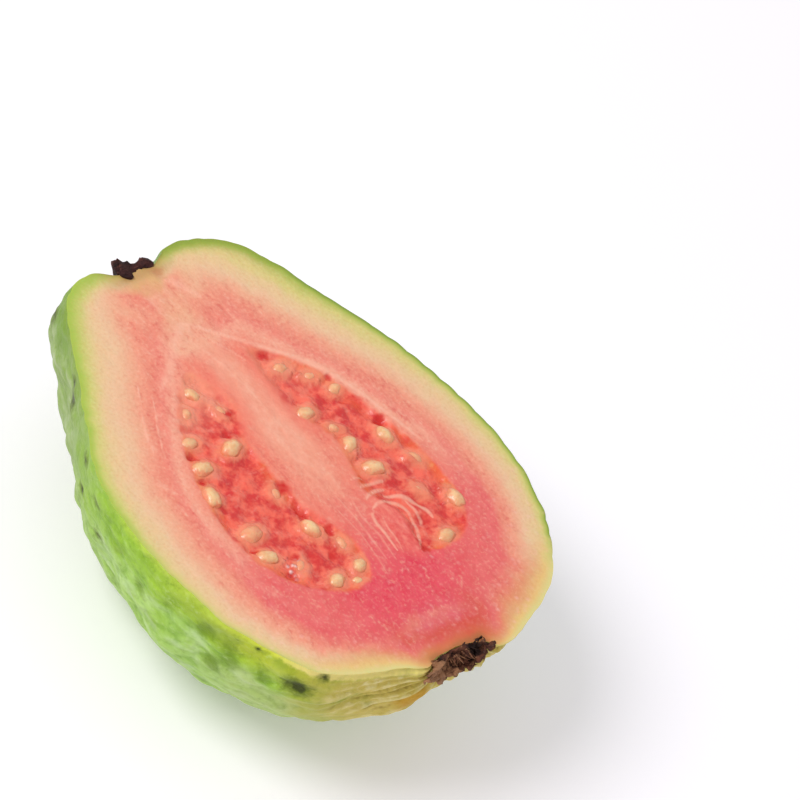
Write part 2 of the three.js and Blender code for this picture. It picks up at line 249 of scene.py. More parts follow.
angles = np.linspace(0, math.pi, RIND_ROUND + 1)
bare = np.array([meridian(angle, RIND_ALONG) for angle in angles])
relief, lumps, pleats, dents = np.array([rind_relief(*pair) for pair in zip(bare, angles)]).transpose(1, 0, 2)
outward = bare * (0.6, 1, 1)
outward = outward / np.linalg.norm(outward, axis=2, keepdims=True)
rind_points = bare + outward * relief[..., None]


def quads(first, second):
    """Faces between two rows of point numbers."""
    return np.stack([first[:-1], first[1:], second[1:], second[:-1]], axis=1).tolist()


def tube(rounds):
    """Faces between closed rounds of point numbers, from each to the next."""
    closed = [np.append(row, row[0]) for row in rounds]
    return [face for pair in zip(closed, closed[1:]) for face in quads(*pair)]


def fan(ring, tip):
    """Faces from a closed round of point numbers to a tip."""
    return [[a, tip, b] for a, b in zip(ring, np.roll(ring, -1))]


def shell(lines):
    """A surface whose lines all run from one tip to the other. Returns its points, with the two tips first,
    the points' numbers along each line, and its faces."""
    grid = np.zeros(lines.shape[:2], int)
    grid[:, -1] = 1
    grid[:, 1:-1] = 2 + np.arange(grid[:, 1:-1].size).reshape(len(grid), -1)
    faces = []
    for a, b in zip(grid, grid[1:]):
        faces += quads(a[1:-1], b[1:-1]) + [[0, a[1], b[1]], [1, b[-2], a[-2]]]
    return np.concatenate([lines[0, :1], lines[0, -1:], lines[:, 1:-1].reshape(-1, 3)]), grid, faces


rind_shell, rind_grid, faces = shell(rind_points)
rind_faces = len(faces)
lumps, pleats, dents = (
    np.concatenate([[0, 0], values[:, 1:-1].ravel()]) for values in (lumps, pleats, dents)
)

# The cut face: rings this share of the way out from the middle, closest together over the pulp.
RING_SHARES = np.concatenate([
    [0.993], np.linspace(0.975, 0.68, 16, endpoint=False), np.linspace(0.68, 0, 55, endpoint=False),
])
rim = np.concatenate([rind_grid[0], rind_grid[-1, -2:0:-1]])
rim_line = np.concatenate([rind_points[0], rind_points[-1, -2:0:-1]])[:, :2]

# Two chambers of pulp lie either side of the placenta.
# Each outline runs along the chamber's outer wall and back along its inner one.
PLACENTA = (-9, 1.4)  # its middle
PULP_SINK = 0.65  # how far the pulp lies below the flesh
FAR_CHAMBER = smooth_line([
    (-20.8, 6.6), (-17.7, 11.3), (-10.6, 16.2), (-1.3, 19.4), (7, 21.2), (15.5, 21.3), (21.8, 18.1),
    (23.8, 12.5), (21.8, 7.8), (15, 8.8), (9.2, 6.2), (0, 8.4), (-6.5, 5.4), (-13.5, 5.2),
], closed=True)
NEAR_CHAMBER = smooth_line([
    (-20.6, -4.5), (-17.8, -10), (-11.4, -14.9), (-2.6, -18.6), (5.5, -20), (12.8, -19.2), (19, -15.4),
    (23, -9), (22.4, -3.4), (16.4, -1.3), (10.8, -2.9), (5, -5), (-5, -5), (-12.5, -1.6),
], closed=True)

# The seeds, as [x, y, turn in degrees, size, how far juice veils it].
SEEDS = [
    (-15, 10, 85, 0.9, 0.7), (-11.8, 13.6, 70, 0.8, 0.8), (-8.2, 16, 95, 0.85, 0.5),
    (2.6, 17.4, 10, 1, 0.2), (8, 19.2, 40, 0.85, 0.8), (17, 20, -3, 1.1, 0.2),
    (21.8, 13.4, 100, 1, 0.1), (-6.4, 7.8, 88, 1, 0.3), (-2.2, 10.4, 50, 0.7, 0.8),
    (1.6, 10.2, -55, 1, 0.2), (6.6, 11, 66, 1.15, 0.2), (13, 15.4, 20, 0.75, 0.9),
    (-17, -7.6, 30, 0.85, 0.2), (-14.2, -11.2, -45, 0.8, 0.8), (-9.8, -14.2, 85, 0.9, 0.3),
    (-5.1, -15.6, 80, 1.1, 0.1), (-0.3, -17.8, -15, 1.15, 0), (7.8, -16.4, 90, 1.2, 0.7),
    (12.3, -17, 62, 1.05, 0.1), (15.8, -12.8, -40, 0.75, 1), (20.4, -9.2, 105, 0.95, 0.2),
    (22, -6, 70, 0.6, 0.2), (19.8, -3.8, 110, 0.9, 0.1), (15.4, -3.6, 0, 0.75, 0.8),
    (11.4, -6.6, 20, 1.05, 0.1), (-6.2, -8.3, 102, 1.15, 0), (-12.6, -5.2, 15, 0.75, 0.8),
    (3.4, -7.4, -20, 0.75, 0.9),
]
SEED_LENGTH = 3.9
SEED_WIDTH = 2.6

# Holes in the pulp, where a seed or a drop of juice came out, as [x, y, radius].
PITS = [
    (8.6, -6, 1.5), (12.6, -4.1, 1.2), (3.2, -5.8, 1.7), (-11.4, -4.4, 1.3), (16.6, -15.4, 1.2),
    (-7.4, -15.6, 1), (-3, -17.2, 0.9), (10.6, -18, 1), (-8.6, -7.4, 0.9), (2.2, -17.2, 1),
    (-0.2, 18.6, 1.5), (-18.4, 9, 1.3), (-10.2, 16, 0.8), (17.4, 12, 1.4), (21.8, 8.4, 1.2),
    (16.4, -6.4, 1.2), (14, -12.6, 1.1),
]

FAR_OFF = 9  # the gap to a seed, a vein or a scar where none is near
# Pale veins in the flesh, as [half-width, how faint, points from one end to the other].
VEINS = [
    (0.5, 0.3, [
        (-28, 0.8), (-24.5, 4.6), (-20, 9.2), (-14, 14.9), (-8, 18.2), (0, 20.8), (6, 22.4),
    ]),
    (1.2, 0.8, [(-27, 2.6), (-28, -0.6), (-25.6, -4), (-22.2, -8), (-19.6, -12)]),
    (0.6, 1.1, [(-26, -1), (-20, 0.8), (-14, 1.8), (-9, 2)]),
    (0.3, 0.7, [(-25, 1.8), (-21, 4.2), (-18, 5.4)]),
    (0.8, 0.5, [(-36.8, 3.4), (-34.6, 5), (-31.4, 6.8)]),
    (0.3, 0.4, [(-22, -14.8), (-16, -18.8), (-9.2, -21.6)]),
    (0.25, 0.5, [(-19, -14.2), (-13.2, -17.8), (-8.4, -20.4)]),
    (0.28, 0.2, [(12.9, 5.4), (13.6, 4.4), (15, 4), (17.6, 3.9), (20.6, 3.6)]),
    (0.22, 0.6, [(14.4, 5.8), (16.4, 5.2), (18.8, 5), (21, 4.4)]),
    (0.3, 0, [
        (13, 5), (12.3, 6.4), (12.3, 8.2), (12.9, 9.6), (14, 10.6), (15.4, 10.9), (17, 10.4),
    ]),
    (0.26, 0.1, [(16, 10.8), (17.6, 10.3), (19.4, 9.6), (21, 8.4), (21.9, 7.4)]),
    (0.34, 0, [(11.3, 9.2), (12.2, 11), (13.4, 12.5), (15, 13.4), (16.8, 14.2), (18.2, 14)]),
    (0.3, 0.2, [(13.8, 12), (15.6, 12.2), (17.4, 12), (18.6, 11.2)]),
    (0.34, 0.2, [(9.2, 11.2), (8.7, 9.2), (8.5, 7.4), (8.7, 6)]),
    (0.36, 0.2, [(10.4, 10.6), (10.1, 8.6), (10.3, 6.8), (10.8, 5.4)]),
    (0.24, 0.5, [(7.4, 8), (6.9, 6.6), (6.9, 5.2)]),
    (0.45, 1, [(9, 3.4), (13, 2.6), (17, 2.8), (22, 2.2)]),
    (0.4, 1, [(8, 1.2), (12, 1.4), (17, 1.2), (21.5, 0.8)]),
    (0.35, 1.1, [(10, -0.4), (15, 0.1), (20, -0.4), (24, -1.2)]),
    (0.3, 1, [(-12, 20.4), (-6, 22.6), (0, 24), (7, 25.2)]),
    (0.3, 1, [(2, 26), (8, 26.8), (14, 26.4)]),
    (0.3, 1, [(6, -22.4), (13, -22.8), (20, -19.8)]),
]


def gap_to_line(places, line, closed=False):
    """Each place's distance to a broken line, and how far along it the nearest point is, from 0 to 1."""
    starts = line if closed else line[:-1]
    ends = np.roll(line, -1, axis=0) if closed else line[1:]
    nearest = np.full(len(places), np.inf)
    share = np.zeros(len(places))
    for k, (a, b) in enumerate(zip(starts, ends)):
        t = np.clip((places - a) @ (b - a) / ((b - a) @ (b - a)), 0, 1)
        gap = np.hypot(*(places - a - t[:, None] * (b - a)).T)
        closer = gap < nearest
        nearest = np.where(closer, gap, nearest)
        share = np.where(closer, (k + t) / len(starts), share)
    return nearest, share


def depth_inside(places, loop):
    """How deep each place lies inside a closed line, below zero outside it."""
    inside = np.zeros(len(places), bool)
    for (ax, ay), (bx, by) in zip(loop, np.roll(loop, -1, axis=0)):
        crosses = (ay > places[:, 1]) != (by > places[:, 1])
        if crosses.any():
            inside ^= crosses & (places[:, 0] < ax + (bx - ax) * (places[:, 1] - ay) / (by - ay))
    nearest, _ = gap_to_line(places, loop, closed=True)
    return np.where(inside, nearest, -nearest)


def gap_to_seeds(places):
    """Each place's distance to the edge of the nearest seed, below zero inside it."""
    nearest = np.full(len(places), np.inf)
    for x, y, turn, size, _ in SEEDS:
        c, s = math.cos(math.radians(turn)), math.sin(math.radians(turn))
        along = (places[:, 0] - x) * c + (places[:, 1] - y) * s
        across = (places[:, 1] - y) * c - (places[:, 0] - x) * s
        out = np.hypot(along / SEED_LENGTH, across / SEED_WIDTH) * 2 / size - 1
        nearest = np.minimum(nearest, out * SEED_WIDTH * size / 2)
    return nearest


face_places = (rim_line[None] * RING_SHARES[:, None, None]).reshape(-1, 2)
face_places = np.concatenate([face_places, [(0, 0)]])
flat = np.column_stack([face_places, np.zeros(len(face_places))])
skin_depth = depth_inside(face_places, rim_line)
pulp_depth = np.maximum(depth_inside(face_places, FAR_CHAMBER), depth_inside(face_places, NEAR_CHAMBER))
from_placenta = np.hypot((face_places[:, 0] - PLACENTA[0]) * 0.27, face_places[:, 1] - PLACENTA[1])
soft_side = 1 - smoothstep(from_placenta, 5, 9)
pulp = smoothstep(pulp_depth + 0.05 * waves(flat, 1.6, 3.4), 0, 1.4 + 2.0 * soft_side)
seed_gap = gap_to_seeds(face_places)
pit = np.zeros(len(face_places))
torn = 0.06 * waves(flat, 0.9, 1.8)
for x, y, radius in PITS:
    away = np.hypot(*(face_places - (x, y)).T) + torn
    pit = np.maximum(pit, 1 - smoothstep(away, 0.3 * radius, 1.1 * radius))
vein_gap = np.full(len(face_places), np.inf)
for half_width, faint, route in VEINS:
    gap, share = gap_to_line(face_places, smooth_line(route))
    taper = 0.35 + 0.65 * np.sin(math.pi * share) ** 0.6
    vein_gap = np.minimum(vein_gap, gap / (half_width * taper) + faint)
vein_gap = np.minimum(vein_gap, FAR_OFF)

curds = 0.04 * waves(flat, 2, 4.2) + 0.008 * waves(flat, 0.9, 1.6)
meniscus = 0.5 * (1 - smoothstep(seed_gap, 0, 1.1))
face_height = pulp * (-PULP_SINK + curds + meniscus) - 0.25 * pit + (1 - pulp) * 0.01 * waves(flat, 1.4, 3)
face_height = face_height * smoothstep(skin_depth, 0, 1.5)

first_face_point = len(rind_shell)
rings = first_face_point + np.arange(len(RING_SHARES) * len(rim)).reshape(len(RING_SHARES), -1)
middle = first_face_point + len(face_places) - 1
faces += tube([rim, *rings][::-1]) + fan(rings[-1], middle)
points = np.concatenate([rind_shell, np.column_stack([face_places, face_height])])


def set_down(places):
    """The fruit's own millimetres as metres on the table."""
    placed = (places + (-REST_SPOT[0], -REST_SPOT[1], CUT_HEIGHT)) * MM
    placed[:, 2] = np.maximum(0, placed[:, 2])
    return placed


def piece(name, places, faces, materials, fields):
    """A smooth mesh piece. Fields are numbers at its points that its materials read."""
    mesh = bpy.data.meshes.new(name)
    mesh.from_pydata(set_down(places).tolist(), [], [[int(i) for i in face] for face in faces])
    for field, values in fields.items():
        mesh.attributes.new(field, "FLOAT", "POINT").data.foreach_set("value", np.asarray(values, np.float32))
    for material in materials:
        mesh.materials.append(material)
    mesh.shade_smooth()
    return in_scene(name, mesh)


class Wire:
    """A socket of a material's nodes. Sums and products of wires add their own Math nodes."""

    def __init__(self, tree, socket=None):
        self.tree = tree
        self.socket = socket

    def node(self, kind, settings, sockets, out=0):
        """Adds a node. Its settings are set first, then its sockets, to numbers, #rrggbb colours or wires."""
        made = self.tree.nodes.new("ShaderNode" + kind)
        for name, value in settings.items():
            if name == "stops":
                for _ in value[2:]:
                    made.color_ramp.elements.new(0.5)
                for stop, (share, shade) in zip(made.color_ramp.elements, value):
                    stop.position = share
                    stop.color = colour(shade)
            else:
                setattr(made, name, value)
        for name, value in sockets.items():
            if isinstance(value, Wire):
                self.tree.links.new(value.socket, made.inputs[name])
            else:
                made.inputs[name].default_value = colour(value) if isinstance(value, str) else value
        return Wire(self.tree, made.outputs[out] if made.outputs else None)

    def math(self, operation, *others):
        return self.node("Math", {"operation": operation}, dict(enumerate((self, *others))))

    __add__ = __radd__ = partialmethod(math, "ADD")
    __mul__ = __rmul__ = partialmethod(math, "MULTIPLY")
    __sub__ = partialmethod(math, "SUBTRACT")
    __truediv__ = partialmethod(math, "DIVIDE")
    __abs__ = partialmethod(math, "ABSOLUTE")
    at_least = partialmethod(math, "MAXIMUM")

    def __rsub__(self, other):
        return self.node("Math", {"operation": "SUBTRACT"}, {0: other, 1: self})

    def across(self, other, share=1):
        """The distance across two sides at right angles. The first one's square counts for this share."""
        return (self * self * share + other * other).math("SQRT")

    def rise(self, low, high):
        """0 at the low value and 1 at the high one, with a smooth rise between.
        It falls where low is above high."""
        settings = {"interpolation_type": "SMOOTHSTEP"}
        return self.node("MapRange", settings, {"Value": self, "From Min": low, "From Max": high})

    def blend(self, under, over):
        """The over colour where this is 1, and the under colour where it is 0."""
        return self.node("Mix", {"data_type": "RGBA"}, {"Factor": self, 6: under, 7: over}, 2)

    def coated(self, *coats):
        """This colour with others laid over it in turn, as [share, colour]."""
        top = self
        for share, over in coats:
            top = share.blend(top, over)
        return top

    def ramp(self, reach, stops):
        """A colour for each value from 0 to the reach, from stops of value and #rrggbb."""
        stops = [(value / reach, shade) for value, shade in stops]
        return self.node("ValToRGB", {"stops": stops}, {"Fac": self / reach})

    def field(self, name):
        """Numbers kept at the mesh's points."""
        return self.node("Attribute", {"attribute_name": name}, {}, "Fac")

    def stretched(self, *shares):
        """A place with its three coordinates multiplied: noise is drawn out along those below 1."""
        return self.node("VectorMath", {"operation": "MULTIPLY"}, {0: self, 1: shares})

    def noise(self, size, detail=2, roughness=0.5):
        """Soft noise at this place, from about -1 to 1, with blotches this many millimetres across."""
        sockets = {"Vector": self, "Scale": 1 / (size * MM), "Detail": detail, "Roughness": roughness}
        return self.node("TexNoise", {}, sockets) * 4 - 2

    def specks(self, gap, reach=0.5):
        """1 at the middle of scattered specks, about this many millimetres apart, and 0 between them.
        Each one's reach is a share of the gap."""
        return self.node("TexVoronoi", {}, {"Vector": self, "Scale": 1 / (gap * MM)}).rise(reach, 0.05)

    def relief(self):
        """The normals of a surface that stands out by this many millimetres."""
        return self.node("Bump", {}, {"Strength": 1, "Distance": MM, "Height": self})


def colour(text):
    """A colour as #rrggbb, in the linear values that sockets take."""
    shares = [int(text[k:k + 2], 16) / 255 for k in (1, 3, 5)]
    return *(v / 12.92 if v <= 0.04045 else ((v + 0.055) / 1.055) ** 2.4 for v in shares), 1


def new_material(name):
    made = bpy.data.materials.new(name)
    made.use_nodes = True
    made.node_tree.nodes.clear()
    return made, Wire(made.node_tree)


def surface(start, sockets):
    shader = start.node("BsdfPrincipled", {}, sockets)
    start.node("OutputMaterial", {}, {"Surface": shader})


def fruit_millimetres(start):
    """The place on the piece: the object's own coordinates, and the fruit's x, y and z in millimetres."""
    place = start.node("TexCoord", {}, {}, "Object")
    x, y, z = (start.node("SeparateXYZ", {}, {0: place}, k) / MM for k in range(3))
    return place, x + REST_SPOT[0], y + REST_SPOT[1], z - CUT_HEIGHT


STEM_END = -40  # the middles of the dried ends, which the flesh's colours go by
CALYX_END = 40
WEB = (-26.5, -0.5)  # the middle of the pale web between the stem and the chambers
LOBE = (17, 7.2)  # the middle of the red lobe between the chambers
TEAR = (15.8, -13.6)  # the torn place in the pulp


def cut_measures(start):
    """What the cut's colours go by at each place on it: noises, the mesh's own fields, and distances."""
    place, x, y, _ = fruit_millimetres(start)
    at = SimpleNamespace(place=place, x=x, y=y)
    at.broad = place.noise(7)
    at.mottle = place.noise(2.2, 3)
    at.fine = place.noise(0.8)
    at.fibre = place.stretched(0.4, 1, 1).noise(1.1, 3)
    at.grit = place.noise(0.55)
    for field in ("skin_depth", "pulp", "pulp_depth", "pit", "seed_gap", "vein_gap"):
        setattr(at, field, start.field(field))
    at.stem_gap = (x - STEM_END).across(y)
    at.calyx_gap = (x - CALYX_END).across(y)
    from_placenta = (x - PLACENTA[0]).across(y - PLACENTA[1], 0.075)
    at.from_placenta = from_placenta + at.mottle * 0.5 + at.broad * 0.4
    at.calyx_side = (x + at.broad * 1.5 + at.mottle).rise(3, 25)
    return at


def flesh_layers(at):
    """The flesh's layers lie along the skin, and crowd together towards the calyx and right by the stem:
    their colours, and each place's depth among them."""
    x, y, mottle = at.x, at.y, at.mottle
    depth = at.skin_depth + (at.broad * 0.5 + mottle * 0.35 + at.fibre * 0.3) * at.skin_depth.rise(0, 3)
    near_calyx = x.rise(24, 31) * y.rise(-3, -9) * depth.rise(2.5, 5) * 2.2
    layer = depth * (x.rise(-44, 34) * 0.75 + at.stem_gap.rise(10, 3) * 1.3 + 0.5)
    layer = layer + y.rise(-8, -20) * depth.rise(9, 5) * 0.8
    layer = layer - y.rise(-12, -22) * x.rise(-22, -12) * x.rise(16, 6) * depth.rise(1, 4) * 1.1
    layer = layer + near_calyx
    layer = layer + (depth - 7).at_least(0) * 0.3 - y.rise(8, 24) * depth.rise(1, 4) * 0.6
    layer = layer + at.stem_gap.rise(19, 6) * depth.rise(1.2, 4) * 2.4
    cut = layer.ramp(16, [
        (0, "#6f8c2c"), (0.5, "#abb850"), (1.3, "#d5c97c"), (2.4, "#e4c491"), (4.2, "#eabe98"),
        (5.8, "#ecab8b"), (7.4, "#ee9a80"), (9.2, "#ea8a75"), (10.8, "#ed8b79"), (12.6, "#f1a28a"),
        (15.6, "#ed8d77"),
    ])
    end_layer = depth * (at.calyx_gap.rise(14, 3) * 3 + 1) + near_calyx
    end_cut = end_layer.ramp(16, [
        (0.3, "#dccf88"), (1.4, "#e6c07a"), (3, "#e2a473"), (4.5, "#e38f6a"), (6, "#e67c69"),
        (8, "#e56e6a"), (10, "#df605c"), (12, "#da5a50"), (16, "#e0606a"),
    ])
    magenta = (mottle * 0.5 + at.fine * 0.3 + at.fibre * 0.4).rise(-0.8, 0.8).blend("#e95a67", "#dd2a48")
    softer = abs(y).rise(5, 16) * x.rise(13, 22) * 0.3
    reddest = (layer - y.rise(6, 20) * 1.8 - y.rise(-9, -16) * 0.9).rise(7, 10) * (1 - softer)
    cut = (at.calyx_side * reddest).blend(cut, magenta)
    return (x + mottle).rise(28, 35).blend(cut, end_cut), layer


def pale_and_green_flesh(at, cut):
    """The stalk's own strands are paler, along the middle. The skin's green reaches further in at the stem's
    shoulders and along the near side, and a pale web lies before the chambers."""
    x, y, mottle, skin_depth = at.x, at.y, at.mottle, at.skin_depth
    strands = (abs(y - 1) + mottle * 0.8).rise(4.5, 1) * x.rise(-25, -31)
    shoulders = skin_depth.rise(3.4, 0.2) * x.rise(-26, -35) * at.stem_gap.rise(5, 8)
    band = (skin_depth + mottle * 0.2 + at.fine * 0.15) / (x.rise(-12, -30) * 0.4 + 1)
    near_side = y.rise(-3, -12) * x.rise(12, -8)
    far_shoulder = skin_depth.rise(7, 3) * skin_depth.rise(0.8, 2.6) * x.rise(-28, -36) * y.rise(4, 9)
    to_web = (x - WEB[0]).across(y - WEB[1], 1.6) + mottle * 1.2
    return cut.coated(
        (strands * 0.4, "#eec096"),
        (shoulders * 0.7, "#92a43a"),
        (band.rise(3.4, 0.6) * near_side * 0.75, "#c6cb6c"),
        (band.rise(1.5, 0) * near_side * 0.85, "#a3be46"),
        (far_shoulder * 0.4, "#e6c48e"),
        (to_web.rise(6.5, 2.5) * 0.45, "#eebc98"),
    )


def grained_flesh(at, cut, layer):
    """Paler and redder fibres and grit run through the pink flesh, and the placenta is paler. Nearer the
    calyx lie a redder lobe with a seam round it, and white grains of stone cells."""
    x, y, mottle, grit = at.x, at.y, at.mottle, at.grit
    streak = (at.fibre * 0.6 + at.fine * 0.4 + grit * 0.15) * layer.rise(3, 8)
    below_skin = at.skin_depth.rise(0.5, 2)
    pale = (mottle * 0.5 + streak * 0.4).rise(-0.6, 0.8).blend("#ef9d83", "#f4b096")
    to_lobe = (x - LOBE[0]).across(y - LOBE[1], 0.5) + mottle * 0.5
    lobe = streak.rise(-0.6, 0.6).blend("#e4544e", "#f28474")
    grains = at.place.specks(1.2) * (mottle * 0.8 + 0.3).rise(0, 1)
    return cut.coated(
        (streak.rise(0, 1) * 0.36, "#fac4aa"),
        (streak.rise(0, -0.9) * 0.5, "#d64c48"),
        (grit.rise(0, 0.9) * below_skin * 0.14, "#f7dcb8"),
        (grit.rise(0, -0.9) * below_skin * 0.14, "#cc6a4c"),
        (at.from_placenta.rise(5.5, 2.3) * 0.85, pale),
        (to_lobe.rise(5.5, 2.5) * 0.75, lobe),
        (grains * at.calyx_side * 0.3, "#f8c2bb"),
    )


def stained_flesh(at, cut):
    """The dried ends stain the flesh beside them orange, red and brown."""
    x, y, mottle = at.x, at.y, at.mottle
    by_crown = (x + mottle * 0.7).rise(35.6, 38.4) * abs(y).rise(10, 5)
    at_crown = (x + mottle * 0.3).rise(37.4, 38.6) * abs(y).rise(6.5, 5)
    to_red = (x - 37).across(y - 5.5) + mottle * 0.5
    to_rust = (x + 38.4).across(y - 3) + at.fine * 0.4
    return cut.coated(
        (by_crown * 0.8, "#d08a50"),
        (at.calyx_gap.rise(7.5, 3) * 0.55, "#cf4432"),
        (to_red.rise(4, 1) * 0.5, "#d23c2c"),
        (at_crown * 0.8, "#a86a3a"),
        ((at.stem_gap + mottle * 1.2).rise(6.5, 1.5) * 0.8, "#d9a86c"),
        (x.rise(-37.4, -39.2) * abs(y).rise(8, 4) * 0.45, "#a8804a"),
        (to_rust.rise(1.8, 0.3) * 0.4, "#b04c34"),
    )


def seed_pulp(at):
    """Red pulp: orange along the outer walls and round the seeds, paler in its curds and by the stem."""
    mottle, fine = at.mottle, at.fine
    red = (mottle * 0.7 + fine * 0.2 + 0.5).rise(0.1, 0.9).blend("#f16a55", "#d4302d")
    wall = at.pulp_depth.rise(3, 0.3) * (at.broad * 0.8 + 0.6).rise(0.25, 0.75)
    orange = (fine * 0.5 + mottle * 0.5).rise(0, 0.8).blend("#e9602e", "#f29a5c")
    curd = at.place.noise(1.5) * 0.8 + fine * 0.3
    stem_side = (at.x + mottle * 2).rise(-7, -20) * (at.y.rise(4, -4) * 0.35 + 0.42)
    return red.coated(
        (wall * 0.75, orange),
        ((at.seed_gap + fine * 0.35).rise(1.3, -0.1) * 0.65, "#f09470"),
        (curd.rise(0.1, 0.9) * 0.45, "#f7937e"),
        (stem_side, "#f39c80"),
    )


def cut_flesh():
    """The cut: green at the skin, cream, then pink to magenta, with red pulp in the two chambers."""
    made, start = new_material("cut_flesh")
    at = cut_measures(start)
    mottle, fine, pulp, pit = at.mottle, at.fine, at.pulp, at.pit
    cut, layer = flesh_layers(at)
    cut = stained_flesh(at, grained_flesh(at, pale_and_green_flesh(at, cut), layer))

    # The pulp has a soft edge towards the placenta, and deep red pits. Pale veins run over flesh and pulp.
    soft_side = at.from_placenta.rise(9, 5)
    halo = at.pulp_depth.rise(-3.5, 0.5) * soft_side
    in_chamber = (at.pulp_depth + mottle * 0.35).rise(-0.25, soft_side * 1.6 + 0.6)
    vein = at.vein_gap.rise(2, 0.2) * (mottle * 0.25 + 0.8)

    # The pulp is wettest round a torn place on the near side, where small drops stand on it. Their near-white
    # pink colour is a painted glint.
    to_tear = (at.x - TEAR[0]).across(at.y - TEAR[1]) + mottle * 0.8
    wet = to_tear.rise(3.2, 1.2).at_least(at.broad.rise(0.25, 0.7) * 0.7) * pulp
    drops_and_glints = at.place.specks(0.9, 0.55) * wet
    cut = cut.coated(
        (halo * 0.45, "#ee6a58"),
        (in_chamber, seed_pulp(at)),
        ((pit + fine * 0.2 + mottle * 0.1) * pit.rise(0, 0.3) * 0.95, "#d02620"),
        (vein * 0.8, "#f9bba2"),
        # Painted highlight: glints on the drops, near white.
        (to_tear.rise(2.4, 0.8) * drops_and_glints * pulp * 0.85, "#fcdad8"),
    )
    bump = fine * (pulp * 0.02 + 0.012) + vein * 0.04 + at.grit * (pulp * 0.015 + 0.01) + drops_and_glints * 0.22
    surface(start, {
        "Base Color": cut, "Roughness": 0.5 - pulp * 0.25, "Normal": bump.relief(),
        "Coat Weight": pulp * 0.3 + drops_and_glints * 0.5 + 0.03, "Coat Roughness": 0.12, "IOR": 1.4,
        "Subsurface Weight": 0.2, "Subsurface Scale": 0.0008, "Subsurface Radius": (1, 0.45, 0.3),
    })
    return made


